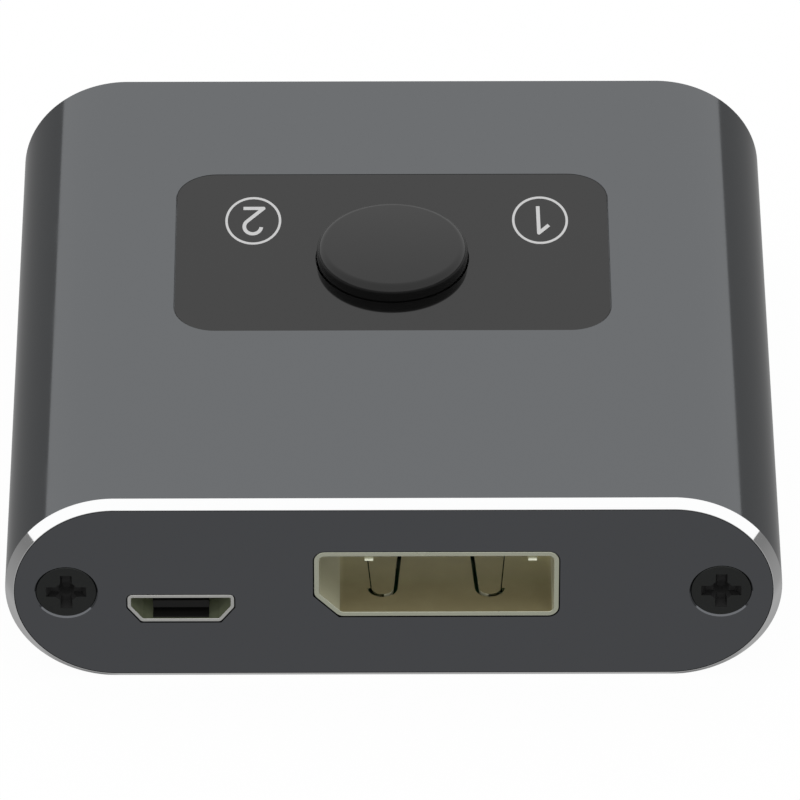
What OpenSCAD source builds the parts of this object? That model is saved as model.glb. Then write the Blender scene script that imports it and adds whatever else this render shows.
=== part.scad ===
// Two-way video switch box: an extruded aluminium tube with a stadium section, closed by
// two screwed end plates. A board carries one output port and a small power inlet at the
// front, two input ports at the rear, and a push switch under a round button on top.
// Frame: origin at the bottom centre, X to the right seen from the front, Y to the rear, Z up.

/* [Body] */
// Width of the tube across its round sides
body_w = 54; // [48.5:0.5:70]
// Length of the tube from front to rear
body_d = 52.2; // [47:0.2:75]
// Height of the tube, which is also the diameter of its round sides
body_h = 15.4; // [13.8:0.1:18]
// Wall of the tube
tube_wall = 1.4; // [1.3:0.1:1.8]
// Bright chamfer cut round each mouth of the tube
mouth_chamfer = 0.58; // [0.3:0.02:0.8]
// Flat land left between that chamfer and the end plate's seat
mouth_land = 0.04; // [0.02:0.01:0.1]

/* [End plates] */
// Thickness of the end plates
plate_t = 1.2; // [1:0.1:1.8]
// Clearance between an end plate and its seat in the tube
plate_clear = 0.05; // [0.03:0.01:0.1]
// Clearance between a port's shell and its cut-out in the plate
port_clear = 0.08; // [0.06:0.02:0.3]

/* [Screws] */
// Distance of a screw's axis from the side of the body
screw_inset = 4.25; // [3.8:0.05:4.6]
// Diameter of the screw's thread
screw_d = 2.5; // [2:0.1:2.6]
// Length of the screw under the plate's face
screw_len = 8; // [6:0.5:12]
// Diameter of the countersink at the plate's face
countersink_d = 4.44; // [4:0.02:4.7]
// Depth of the screw's head below the plate's face
head_sink = 0.07; // [0.05:0.01:0.3]
// Clearance round the screw's thread and head
screw_clear = 0.05; // [0.03:0.01:0.1]
// Length of the cross recess from arm end to arm end
cross_len = 2.8; // [2.2:0.1:3]
// Width of one arm of the cross recess
cross_w = 0.72; // [0.4:0.02:0.8]
// Depth of those arms
cross_depth = 0.4; // [0.2:0.05:0.45]
// Diameter of the deeper middle of the cross recess
core_d = 1.3; // [1:0.1:1.5]
// Depth of that middle
core_depth = 1; // [0.6:0.1:1.4]
// Outer radius of the screw boss in the tube
boss_r = 2.3; // [2:0.05:2.4]
// Height of the web between a boss and the tube's side
boss_web = 2.3; // [1.5:0.1:3]

/* [Control panel] */
// Width of the control panel
panel_w = 31; // [29:0.5:34]
// Length of the control panel from front to rear
panel_l = 19.35; // [18.5:0.05:22]
// Place of the control panel's centre behind the middle of the body
panel_y = 4; // [2:0.1:5]
// Corner radius of the control panel
panel_r = 2.9; // [1:0.1:4]
// Thickness of the control panel
panel_t = 0.6; // [0.4:0.05:0.7]
// Depth of the control panel's face below the top of the tube
panel_recess = 0.06; // [0.02:0.01:0.3]
// Clearance round the control panel in its pocket
panel_clear = 0.03; // [0.03:0.01:0.1]

/* [Button] */
// Diameter of the button
button_d = 10.78; // [9.5:0.02:11.5]
// Distance of the button's centre behind the centre of the control panel
button_shift = -0.8; // [-1:0.1:1]
// Height of the button above the face of the control panel
button_proud = 1.25; // [0.8:0.05:1.6]
// Radius of the button's rounded rim
button_round = 0.6; // [0.2:0.05:0.7]
// Wall of the button
button_wall = 1.2; // [0.8:0.1:1.5]
// Radial clearance of the button in its hole
button_clear = 0.1; // [0.06:0.01:0.3]
// Reach of the retaining flange past the button's wall
flange_reach = 0.9; // [0.6:0.1:1.5]
// Thickness of the retaining flange
flange_t = 0.8; // [0.5:0.1:1]
// Gap over the flange when the button is up
flange_gap = 0.1; // [0.05:0.05:0.3]
// Radius of the stem that presses on the switch
stem_r = 2; // [1.5:0.1:2.5]

/* [Push switch] */
// Side of the square push switch
switch_w = 6.2; // [5.5:0.1:7]
// Length, width and height of each terminal beside the switch
terminal_size = [1, 0.7, 0.25];
// Spacing of the terminals along a side
terminal_pitch = 4.5; // [3:0.1:5]
// Height of the switch base
switch_base_h = 3; // [2.8:0.1:3.5]
// Thickness of the steel cover on the switch
switch_cover_t = 0.3; // [0.2:0.05:0.5]
// Height of the plunger's end above the board
plunger_top_h = 7; // [5.5:0.1:7.2]
// Radius of the plunger's stem
plunger_r = 1.75; // [1.5:0.05:1.9]
// Radius of the plunger's foot
plunger_foot_r = 2.2; // [2.1:0.05:2.25]
// Thickness of the plunger's foot
plunger_foot_t = 0.6; // [0.4:0.05:0.7]
// Radius of the cavity that holds the snap dome
cavity_r = 2.4; // [2.35:0.05:2.5]
// Depth of that cavity
cavity_depth = 1.6; // [1.5:0.05:1.8]
// Radius of the snap dome
dome_r = 2.1; // [1.8:0.05:2.2]
// Height of the snap dome
dome_h = 0.55; // [0.5:0.05:0.65]
// Sheet thickness of the snap dome
dome_t = 0.1; // [0.08:0.01:0.15]
// Gap between the plunger and what it moves in
plunger_clear = 0.1; // [0.05:0.01:0.2]
// Gap between the snap dome and the plunger's foot
dome_gap = 0.05; // [0.02:0.01:0.1]

/* [Board] */
// Thickness of the board
board_t = 1.6; // [1:0.1:1.8]
// Gap between the board and the screw bosses above it
board_boss_gap = 0.26; // [0.1:0.02:0.4]
// Gap between the board's edges and the tube
board_side_gap = 0.5; // [0.3:0.1:1]
// Gap between the board's ends and the end plates
board_end_gap = 0.25; // [0.1:0.05:0.5]
// Reach of each side rail under the board
rail_reach = 1.4; // [0.8:0.1:2]
// Thickness of each side rail
rail_t = 1; // [0.8:0.1:1.2]

/* [Video ports] */
// Outer width of a video port's shell
port_w = 17; // [16.6:0.1:17.4]
// Outer height of a video port's shell
port_h = 5.54; // [5.4:0.02:5.9]
// Length of a video port's shell
port_depth = 11; // [10:0.1:12.5]
// Sheet thickness of a video port's shell
port_wall = 0.35; // [0.3:0.01:0.4]
// Corner radius of a video port's shell
port_round = 0.75; // [0.5:0.05:0.9]
// Width of the port's cut corner
port_cut_w = 1.75; // [1.4:0.05:2.2]
// Height of the port's cut corner
port_cut_h = 1.8; // [1.4:0.05:2.2]
// Height of a video port's shell above the board
port_standoff = 0.44; // [0.3:0.02:0.6]
// Depth of every port's rim below the plate's face
port_sink = 0.02; // [0:0.02:0.3]
// Place of the output port's centre to the right of the middle
output_x = 2.97; // [1.5:0.01:4]
// Distance of the contact blade behind the port's rim
blade_inset = 4.8; // [4.4:0.1:6]
// Width of the contact blade
blade_w = 11.6; // [11:0.1:12.5]
// Thickness of the contact blade
blade_t = 1.4; // [1:0.1:1.8]
// Length of the block that holds the blade inside the shell
block_len = 2.5; // [2:0.1:3.5]
// Length of the block's foot behind the shell
foot_len = 1; // [0.8:0.1:1.5]
// Contacts in each row
contacts_per_row = 10; // [8:1:10]
// Pitch of the contacts in a row
contact_pitch = 1; // [0.9:0.05:1.05]
// Width of one contact
contact_w = 0.3; // [0.2:0.02:0.35]
// Sheet thickness of one contact
contact_t = 0.12; // [0.08:0.01:0.2]
// Length of each contact's solder foot
contact_foot = 0.7; // [0.5:0.1:1]
// Clearance between moulded port pieces and sheet metal
mould_clear = 0.04; // [0.02:0.01:0.08]
// Distance of each spring finger from the port's centre
finger_x = 3.74; // [3:0.02:4.5]
// Distance of a finger's tip behind the port's rim
finger_inset = 2; // [1.5:0.1:3]
// Radius of a finger's tip
finger_tip_r = 0.76; // [0.6:0.02:1]
// Half of a finger's width at its root
finger_root = 1.1; // [1:0.05:1.4]
// Length of a finger
finger_len = 5.5; // [4:0.1:6]
// Slot on the inner side of a finger
finger_slot = 0.3; // [0.2:0.02:0.45]
// Slot on the outer side of a finger
finger_slit = 0.12; // [0.08:0.02:0.3]
// Width of the two latch tabs under the port's top edge
tab_w = 0.58; // [0.4:0.02:0.8]
// Height of those tabs
tab_h = 0.58; // [0.2:0.02:0.7]
// Place of the latch tabs across the port
tab_x = [-4.71, 6.63];
// Width of a shell's solder leg
leg_w = 1.2; // [0.8:0.1:1.5]
// Places of the solder legs behind the port's rim
leg_y = [3.5, 9];
// Clearance round a leg in its slot in the board
leg_clear = 0.2; // [0.1:0.05:0.4]
// Reach of a leg below the board
leg_below = 0.5; // [0.2:0.1:0.9]

/* [Power inlet] */
// Outer width of the power inlet's shell
power_w = 7.42; // [7:0.02:7.7]
// Outer height of the power inlet's shell
power_h = 2.31; // [2.2:0.01:2.6]
// Length of the power inlet's shell
power_depth = 5; // [4.5:0.1:6]
// Sheet thickness of the power inlet's shell
power_wall = 0.25; // [0.2:0.01:0.3]
// Corner radius of the power inlet's shell
power_round = 0.35; // [0.3:0.05:0.5]
// Width of its two lower cut corners
power_cut_w = 0.95; // [0.7:0.05:1.2]
// Height of its two lower cut corners
power_cut_h = 1.25; // [1:0.05:1.4]
// Distance of the power inlet's centre from the left screw's axis
power_inset = 7.95; // [7:0.05:9]
// Distance of its tongue behind the rim
tongue_inset = 0.4; // [0.2:0.1:1]
// Width of its tongue
tongue_w = 3.9; // [3.4:0.1:4.2]
// Thickness of its tongue
tongue_t = 0.6; // [0.4:0.05:0.7]
// Height of the tongue's underside above the shell's underside
tongue_z = 0.95; // [0.8:0.05:1]
// Thickness of the moulded floor below its tongue
tongue_floor = 0.1; // [0.08:0.02:0.2]
// Distance of that floor behind the rim
tongue_floor_inset = 0.1; // [0.1:0.1:1]
// Length of the block that holds the tongue
tongue_block = 1.2; // [0.8:0.1:1.5]
// Contacts under the tongue
power_contacts_n = 5; // [3:1:5]
// Pitch of those contacts
power_pitch = 0.65; // [0.6:0.01:0.7]

/* [Lights] */
// Places of mark 1 and mark 2 across the panel
mark_x = [10.62, -9.97];
// Distance of both marks behind the centre of the control panel
mark_shift = 3.85; // [3:0.05:5]
// Diameter of a light pipe
pipe_d = 2.4; // [2:0.1:2.8]
// Diameter of a light pipe's collar
pipe_collar_d = 3.6; // [3.2:0.1:4]
// Thickness of a light pipe's collar
pipe_collar_t = 0.8; // [0.5:0.1:1]
// Clearance of a light pipe in its hole
pipe_clear = 0.05; // [0.03:0.01:0.1]
// Gap between a lamp and its light pipe
pipe_gap = 0.3; // [0.1:0.05:0.6]
// Length, width and height of an indicator lamp
lamp_size = [1.6, 0.8, 0.6];

/* [Chips] */
// Side of the switching chip
chip_w = 7; // [5:0.5:8]
// Height of the switching chip
chip_h = 0.9; // [0.7:0.1:1.2]
// Pads along each side of the switching chip
pads_per_side = 12; // [8:1:14]
// Pitch of those pads
chip_pad_pitch = 0.5; // [0.35:0.05:0.55]
// Length, width and height of one of those pads
pad_size = [0.4, 0.25, 0.2];
// Length, width and height of the voltage regulator
regulator_size = [3.5, 3, 1.2];
// Length, width and height of the crystal
crystal_size = [3.2, 2.5, 0.8];
// Length, width and height of a capacitor
capacitor_size = [1.6, 0.8, 0.8];
// Length, width and height of a resistor
resistor_size = [1, 0.5, 0.35];
// Capacitors in each row beside the chip
capacitor_count = 4; // [2:1:4]
// Resistors in the row beside the rear ports
resistor_count = 6; // [3:1:8]
// Spacing of the small parts in a row
small_pitch = 1.6; // [1.2:0.1:1.8]
// Distance of a row of small parts from the chip or the switch
row_gap = 3; // [2.4:0.1:3.2]

/* [Hidden] */
$fn = 64;

// Reach of a cutter past the face that it cuts
over = 1;
// Tube section
round_r = body_h / 2;
round_x = body_w / 2 - round_r;
bore_r = round_r - tube_wall;
seat_r = round_r - mouth_chamfer - mouth_land;
face_y = body_d / 2;
ceiling_z = body_h - tube_wall;
// Screws
screw_x = body_w / 2 - screw_inset;
screw_z = body_h / 2;
screw_r = screw_d / 2;
// Board, hung under the screw bosses
board_top = screw_z - boss_r - board_boss_gap;
board_bottom = board_top - board_t;
board_half_w = round_x + sqrt(pow(bore_r, 2) - pow(screw_z - board_bottom, 2)) - board_side_gap;
board_half_d = face_y - plate_t - board_end_gap;
// Panel and button
panel_top = body_h - panel_recess;
pocket_z = panel_top - panel_t;
button_y = panel_y + button_shift;
button_r = button_d / 2;
button_top = panel_top + button_proud;
flange_top = ceiling_z - flange_gap;
flange_bottom = flange_top - flange_t;
plunger_top = board_top + plunger_top_h;
cavity_z = board_top + switch_base_h - cavity_depth;
// Ports
port_y = face_y - port_sink;
power_x = screw_x - power_inset;
port_z = board_top + port_standoff;
// Each input port is centred between the middle of the body and a screw boss
input_x = (screw_x - boss_r) / 2;
blade_z = (port_h - blade_t) / 2;
tail_y = port_depth + foot_len;
// Lights
mark_y = panel_y + mark_shift;
lamp_top = board_top + lamp_size[2];
// The chip lies halfway between the output port's solder feet and the switch
chip_y = (tail_y + contact_foot - port_y + button_y - switch_w / 2) / 2;

// Shared shapes

// Stadium outline about the tube's own axis, with round ends of radius r
module stadium(r) {
    square([2 * round_x, 2 * r], center = true);
    for (side = [-1, 1]) translate([side * round_x, 0]) circle(r);
}

// Extrudes an outline drawn in X and Z from y0 back to y1
module along_y(y0, y1) {
    translate([0, y1, 0]) rotate([90, 0, 0]) linear_extrude(y1 - y0) children();
}

// Rectangle with its lower left corner at x0, y0 and its four corners rounded
module rounded_rectangle(x0, y0, w, h, r) {
    translate([x0 + r, y0]) square([w - 2 * r, h]);
    translate([x0, y0 + r]) square([w, h - 2 * r]);
    for (x = [x0 + r, x0 + w - r], y = [y0 + r, y0 + h - r]) translate([x, y]) circle(r);
}

// Outline of a port: rounded rectangle with its lower corners cut off, standing on y = 0.
// cuts lists the sides that are cut: -1 is left and 1 is right. grow widens it all round.
module port_outline(w, h, r, cut_w, cut_h, cuts, grow) {
    half = w / 2 + grow;
    k = 1 + grow * (1 / cut_w + 1 / cut_h - sqrt(1 / pow(cut_w, 2) + 1 / pow(cut_h, 2)));
    difference() {
        rounded_rectangle(-half, -grow, 2 * half, h + 2 * grow, r + grow);
        for (side = cuts) polygon([
            [side * (half + cut_w), -grow + cut_h * (k + 1)],
            [side * (half - cut_w * (k + 1)), -grow - cut_h],
            [side * (half + cut_w), -grow - cut_h]
        ]);
    }
}

module video_outline(grow) {
    port_outline(port_w, port_h, port_round, port_cut_w, port_cut_h, [-1], grow);
}

module power_outline(grow) {
    port_outline(power_w, power_h, power_round, power_cut_w, power_cut_h, [-1, 1], grow);
}

// Places a port that is drawn with its rim at y = 0 and its underside at z = 0
module at_output() { translate([output_x, -port_y, port_z]) children(); }
module at_input(side) { translate([side * input_x, port_y, port_z]) rotate([0, 0, 180]) children(); }
module at_power() { translate([-power_x, -port_y, board_top]) children(); }

// Small block that stands on the board
module on_board(x, y, size) {
    translate([x - size[0] / 2, y - size[1] / 2, board_top]) cube(size);
}

// Tube

// Half of the tube's length profile, from its axis out to radius round_r
module mouth_profile() {
    polygon([
        [0, -face_y], [round_r - mouth_chamfer, -face_y], [round_r, mouth_chamfer - face_y],
        [round_r, face_y - mouth_chamfer], [round_r - mouth_chamfer, face_y], [0, face_y]
    ]);
}

// Solid tube with its chamfered mouths
module tube_envelope() {
    translate([0, 0, round_r]) {
        for (side = [0, 180]) rotate([0, 0, side]) translate([round_x, 0, 0])
            rotate([-90, 0, 0]) rotate([0, 0, -90]) rotate_extrude(angle = 180) mouth_profile();
        for (side = [0, 180]) rotate([0, side, 0]) translate([-round_x, 0, 0])
            rotate([0, 90, 0]) rotate([0, 0, 180]) linear_extrude(2 * round_x) mouth_profile();
    }
}

// Hollow of the tube: its bore less the screw bosses and the board's rails
module tube_hollow() {
    difference() {
        stadium(bore_r);
        for (side = [-1, 1]) {
            translate([side * screw_x, 0]) circle(boss_r);
            translate([side * (screw_x + body_w / 2) / 2, 0])
                square([body_w / 2 - screw_x, boss_web], center = true);
            translate([side > 0 ? board_half_w - rail_reach : -body_w / 2,
                board_bottom - rail_t - screw_z])
                square([body_w / 2 - board_half_w + rail_reach, rail_t]);
        }
    }
}

module housing_shell() {
    color([0.43, 0.44, 0.45]) difference() {
        tube_envelope();
        translate([0, 0, screw_z]) {
            along_y(-face_y - over, face_y + over) tube_hollow();
            along_y(-face_y - over, plate_t - face_y) stadium(seat_r);
            along_y(face_y - plate_t, face_y + over) stadium(seat_r);
            for (side = [-1, 1]) translate([side * screw_x, 0, 0])
                along_y(-face_y - over, face_y + over) circle(screw_r + screw_clear);
        }
        translate([0, 0, pocket_z]) linear_extrude(body_h)
            rounded_rectangle(-panel_w / 2, panel_y - panel_l / 2, panel_w, panel_l, panel_r);
        translate([0, button_y, ceiling_z - over]) cylinder(r = button_r + button_clear, h = body_h);
        for (x = mark_x) translate([x, mark_y, ceiling_z - over])
            cylinder(d = pipe_d + 2 * pipe_clear, h = body_h);
    }
}

// End plates and their screws

// Plate that fills one mouth, drawn for the front, with the port cut-outs as children
module end_plate() {
    difference() {
        translate([0, 0, screw_z]) along_y(-face_y, plate_t - face_y) stadium(seat_r - plate_clear);
        children();
        for (side = [-1, 1]) translate([side * screw_x, -face_y, screw_z]) rotate([-90, 0, 0]) {
            translate([0, 0, -over]) cylinder(r = screw_r + screw_clear, h = plate_t + 2 * over);
            translate([0, 0, -over])
                cylinder(r1 = countersink_d / 2 + over, r2 = screw_r + screw_clear,
                    h = countersink_d / 2 + over - screw_r - screw_clear);
        }
    }
}

module front_plate() {
    color([0.26, 0.267, 0.275]) end_plate() {
        at_output() along_y(-over, plate_t + over) video_outline(port_clear);
        at_power() along_y(-over, plate_t + over) power_outline(port_clear);
    }
}

module rear_plate() {
    color([0.26, 0.267, 0.275]) rotate([0, 0, 180]) end_plate() {
        for (side = [-1, 1]) rotate([0, 0, 180]) at_input(side)
            along_y(-over, plate_t + over) video_outline(port_clear);
    }
}

// Countersunk screw along +Z with its head's face at z = 0
module countersunk_screw() {
    head_r = countersink_d / 2 - head_sink - screw_clear;
    difference() {
        union() {
            cylinder(r1 = head_r, r2 = screw_r, h = head_r - screw_r);
            cylinder(r = screw_r, h = screw_len - head_sink);
        }
        for (turn = [0, 90]) rotate([0, 0, turn])
            translate([-cross_len / 2, -cross_w / 2, -over])
                cube([cross_len, cross_w, cross_depth + over]);
        translate([0, 0, -over]) cylinder(d = core_d, h = core_depth + over);
    }
}

module front_screws() {
    color([0.14, 0.15, 0.145]) for (side = [-1, 1])
        translate([side * screw_x, head_sink - face_y, screw_z]) rotate([-90, 0, 0]) countersunk_screw();
}

module rear_screws() {
    color([0.14, 0.15, 0.145]) for (side = [-1, 1])
        translate([side * screw_x, face_y - head_sink, screw_z]) rotate([90, 0, 0]) countersunk_screw();
}

// Control panel, button and switch

module control_panel() {
    color([0.1, 0.1, 0.1]) difference() {
        translate([0, 0, pocket_z]) linear_extrude(panel_t) rounded_rectangle(
            panel_clear - panel_w / 2, panel_y - panel_l / 2 + panel_clear,
            panel_w - 2 * panel_clear, panel_l - 2 * panel_clear, panel_r - panel_clear);
        translate([0, button_y, pocket_z - over])
            cylinder(r = button_r + button_clear, h = panel_t + 2 * over);
    }
}

// Half section of the button, about its axis: a rounded cap with a flange, hollow round its stem
module button_profile() {
    difference() {
        union() {
            translate([0, flange_bottom]) square([button_r, button_top - button_round - flange_bottom]);
            translate([0, flange_bottom]) square([button_r - button_round, button_top - flange_bottom]);
            translate([button_r - button_round, button_top - button_round]) circle(button_round);
            translate([0, flange_bottom]) square([button_r + flange_reach, flange_t]);
        }
        translate([0, flange_bottom - over])
            square([button_r - button_wall, button_top - button_wall - flange_bottom + over]);
    }
    translate([0, plunger_top]) square([stem_r, button_top - button_wall / 2 - plunger_top]);
}

module button_cap() {
    color([0.08, 0.08, 0.08]) translate([0, button_y, 0]) rotate_extrude() button_profile();
}

module switch_base() {
    color([0.12, 0.12, 0.12]) translate([0, button_y, 0]) difference() {
        on_board(0, 0, [switch_w, switch_w, switch_base_h]);
        translate([0, 0, cavity_z]) cylinder(r = cavity_r, h = cavity_depth + over);
    }
}

// Four bent terminals that carry the switch on the board
module switch_terminals() {
    color([0.75, 0.75, 0.72]) translate([0, button_y, 0])
        for (side = [-1, 1], end = [-1, 1])
            on_board(side * (switch_w + terminal_size[0]) / 2, end * terminal_pitch / 2, terminal_size);
}

module switch_dome() {
    sphere_r = (pow(dome_r, 2) + pow(dome_h, 2)) / (2 * dome_h);
    color([0.8, 0.8, 0.78]) translate([0, button_y, cavity_z + dome_h - sphere_r]) intersection() {
        difference() {
            sphere(sphere_r);
            sphere(sphere_r - dome_t);
        }
        translate([0, 0, sphere_r - dome_h]) cylinder(r = cavity_r, h = dome_h + over);
    }
}

module switch_plunger() {
    foot_z = cavity_z + dome_h + dome_gap;
    color([0.2, 0.2, 0.2]) translate([0, button_y, foot_z]) {
        cylinder(r = plunger_foot_r, h = plunger_foot_t);
        cylinder(r = plunger_r, h = plunger_top - foot_z);
    }
}

module switch_cover() {
    color([0.7, 0.7, 0.68]) translate([0, button_y, switch_base_h]) difference() {
        on_board(0, 0, [switch_w, switch_w, switch_cover_t]);
        translate([0, 0, board_top - over])
            cylinder(r = plunger_r + plunger_clear, h = switch_cover_t + 2 * over);
    }
}

// Board

// Slots in the board for a shell's legs, drawn in the port's own place
module leg_slots(half, wall, places) {
    for (side = [-1, 1], y = places)
        translate([side * (half - wall / 2), y, -board_t])
            cube([wall + 2 * leg_clear, leg_w + 2 * leg_clear, 4 * board_t], center = true);
}

module main_board() {
    color([0.05, 0.25, 0.12]) difference() {
        translate([-board_half_w, -board_half_d, board_bottom])
            cube([2 * board_half_w, 2 * board_half_d, board_t]);
        at_output() leg_slots(port_w / 2, port_wall, leg_y);
        for (side = [-1, 1]) at_input(side) leg_slots(port_w / 2, port_wall, leg_y);
    }
}

// Video ports, each drawn with its rim at y = 0 and its underside at z = 0

// Tapered spring finger, widened by slot on its inner side and by slit on its outer side
module finger(side, slot, slit) {
    tip_r = finger_tip_r + (slot + slit) / 2;
    shift = -side * (slot - slit) / 2;
    translate([side * finger_x + shift, finger_inset + finger_tip_r]) {
        circle(tip_r);
        polygon([
            [-tip_r, 0], [tip_r, 0],
            [finger_root + (slot + slit) / 2, finger_len - finger_tip_r],
            [-finger_root - (slot + slit) / 2, finger_len - finger_tip_r]
        ]);
    }
}

module video_shell() {
    color([0.58, 0.58, 0.53]) {
        difference() {
            along_y(0, port_depth) difference() {
                video_outline(0);
                video_outline(-port_wall);
            }
            for (side = [-1, 1])
                translate([0, 0, -over]) linear_extrude(over + 2 * port_wall) difference() {
                    finger(side, finger_slot, finger_slit);
                    finger(side, 0, 0);
                }
        }
        for (x = tab_x) translate([x - tab_w / 2, port_wall, port_h - port_wall - tab_h])
            cube([tab_w, tab_w, tab_h + port_wall / 2]);
        for (side = [-1, 1], y = leg_y)
            translate([side * (port_w - port_wall) / 2 - port_wall / 2, y - leg_w / 2,
                -port_standoff - board_t - leg_below])
                cube([port_wall, leg_w, port_standoff + board_t + leg_below + port_h / 2]);
    }
}

module video_insulator() {
    inner = port_wall + mould_clear;
    row_w = contacts_per_row * contact_pitch;
    color([0.1, 0.1, 0.1]) difference() {
        union() {
            along_y(port_depth - block_len, port_depth) video_outline(-inner);
            translate([-blade_w / 2, blade_inset, blade_z])
                cube([blade_w, port_depth - block_len - blade_inset, blade_t]);
            translate([inner + port_cut_w - port_w / 2, port_depth, -port_standoff])
                cube([port_w - 2 * (inner + port_cut_w), foot_len, port_standoff + port_h - inner]);
        }
        for (z = [blade_z + blade_t, blade_z - contact_t])
            translate([-row_w / 2, port_depth - block_len, z])
                cube([row_w, block_len + foot_len + over, contact_t]);
    }
}

// One contact: a strip on the blade, a tail down to the board and a solder foot
module video_contact(x, z) {
    start = blade_inset + 2 * contact_w;
    translate([x - contact_w / 2, 0, 0]) {
        translate([0, start, z]) cube([contact_w, tail_y + contact_t - start, contact_t]);
        translate([0, tail_y, -port_standoff])
            cube([contact_w, contact_t, port_standoff + z + contact_t]);
        translate([0, tail_y, -port_standoff]) cube([contact_w, contact_foot, contact_t]);
    }
}

module video_contacts() {
    color([0.83, 0.68, 0.35]) for (i = [0 : contacts_per_row - 1]) {
        x = (i - (contacts_per_row - 1) / 2) * contact_pitch;
        video_contact(x - contact_pitch / 4, blade_z + blade_t);
        video_contact(x + contact_pitch / 4, blade_z - contact_t);
    }
}

module output_port_shell() { at_output() video_shell(); }
module output_port_insulator() { at_output() video_insulator(); }
module output_port_contacts() { at_output() video_contacts(); }
module input_1_port_shell() { at_input(1) video_shell(); }
module input_1_port_insulator() { at_input(1) video_insulator(); }
module input_1_port_contacts() { at_input(1) video_contacts(); }
module input_2_port_shell() { at_input(-1) video_shell(); }
module input_2_port_insulator() { at_input(-1) video_insulator(); }
module input_2_port_contacts() { at_input(-1) video_contacts(); }

// Power inlet, soldered flat on the board

module power_port_shell() {
    color([0.57, 0.57, 0.56]) at_power() along_y(0, power_depth) difference() {
        power_outline(0);
        power_outline(-power_wall);
    }
}

module power_port_insulator() {
    inner = power_wall + mould_clear;
    row_w = power_contacts_n * power_pitch;
    block_y = power_depth - tongue_block;
    color([0.06, 0.06, 0.06]) at_power() difference() {
        union() {
            along_y(block_y, power_depth) power_outline(-inner);
            translate([-tongue_w / 2, tongue_inset, tongue_z])
                cube([tongue_w, block_y - tongue_inset, tongue_t]);
            translate([-tongue_w / 2, tongue_floor_inset, inner])
                cube([tongue_w, block_y - tongue_floor_inset, tongue_floor]);
        }
        translate([-row_w / 2, block_y, tongue_z - contact_t])
            cube([row_w, tongue_block + over, contact_t]);
    }
}

module power_port_contacts() {
    start = tongue_inset + contact_w;
    color([0.83, 0.68, 0.35]) at_power() for (i = [0 : power_contacts_n - 1])
        translate([(i - (power_contacts_n - 1) / 2) * power_pitch - contact_w / 2, 0, 0]) {
            translate([0, start, tongue_z - contact_t])
                cube([contact_w, power_depth + contact_t - start, contact_t]);
            translate([0, power_depth, 0]) cube([contact_w, contact_t, tongue_z]);
            translate([0, power_depth, 0]) cube([contact_w, contact_foot, contact_t]);
        }
}

// Chips and small parts

module switching_chip() {
    color([0.09, 0.09, 0.1]) on_board(0, chip_y, [chip_w, chip_w, chip_h]);
}

// Solder pads that show round the switching chip
module chip_pads() {
    color([0.75, 0.75, 0.72]) translate([0, chip_y, 0]) for (side = [-1, 1], i = [0 : pads_per_side - 1]) {
        along = (i - (pads_per_side - 1) / 2) * chip_pad_pitch;
        on_board(side * (chip_w + pad_size[0]) / 2, along, pad_size);
        on_board(along, side * (chip_w + pad_size[0]) / 2, [pad_size[1], pad_size[0], pad_size[2]]);
    }
}

module voltage_regulator() {
    color([0.09, 0.09, 0.1]) on_board(-power_x, chip_y - chip_w, regulator_size);
}

module crystal() {
    color([0.75, 0.75, 0.72])
        on_board(chip_w / 2 + 2 * row_gap + crystal_size[0], chip_y, crystal_size);
}

module capacitors() {
    color([0.62, 0.5, 0.36]) for (side = [-1, 1], i = [0 : capacitor_count - 1])
        on_board(side * (chip_w / 2 + row_gap),
            (i - (capacitor_count - 1) / 2) * small_pitch + chip_y, capacitor_size);
}

module resistors() {
    color([0.08, 0.08, 0.09]) for (i = [0 : resistor_count - 1])
        on_board((i - (resistor_count - 1) / 2) * small_pitch, button_y + switch_w / 2 + row_gap,
            resistor_size);
}

// Indicator lamps and the light pipes over them

module indicator_lamp(i) {
    color([0.9, 0.9, 0.8]) on_board(mark_x[i], mark_y, lamp_size);
}

module light_pipe(i) {
    color([0.85, 0.88, 0.9, 0.6]) translate([mark_x[i], mark_y, 0]) {
        translate([0, 0, lamp_top + pipe_gap]) cylinder(d = pipe_d, h = pocket_z - lamp_top - pipe_gap);
        translate([0, 0, ceiling_z - pipe_collar_t]) cylinder(d = pipe_collar_d, h = pipe_collar_t);
    }
}

module indicator_lamp_1() { indicator_lamp(0); }
module indicator_lamp_2() { indicator_lamp(1); }
module light_pipe_1() { light_pipe(0); }
module light_pipe_2() { light_pipe(1); }

housing_shell();
front_plate();
rear_plate();
front_screws();
rear_screws();
control_panel();
button_cap();
switch_base();
switch_terminals();
switch_dome();
switch_plunger();
switch_cover();
main_board();
output_port_shell();
output_port_insulator();
output_port_contacts();
input_1_port_shell();
input_1_port_insulator();
input_1_port_contacts();
input_2_port_shell();
input_2_port_insulator();
input_2_port_contacts();
power_port_shell();
power_port_insulator();
power_port_contacts();
switching_chip();
chip_pads();
voltage_regulator();
crystal();
capacitors();
resistors();
indicator_lamp_1();
indicator_lamp_2();
light_pipe_1();
light_pipe_2();
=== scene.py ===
# %% [markdown]
# # A two-way video switch box
# The box is a short aluminium tube with round sides. Two screwed plates close its ends, a glossy
# black panel with a round button lies in its top, and the ports look out through the plates.
# The construction comes ready made as a fixed frame. This lesson dresses it: some pieces are
# modelled again with finer detail, and every surface gets a finish made of nodes.

from math import cos, pi, radians, sin, sqrt, tan

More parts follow.
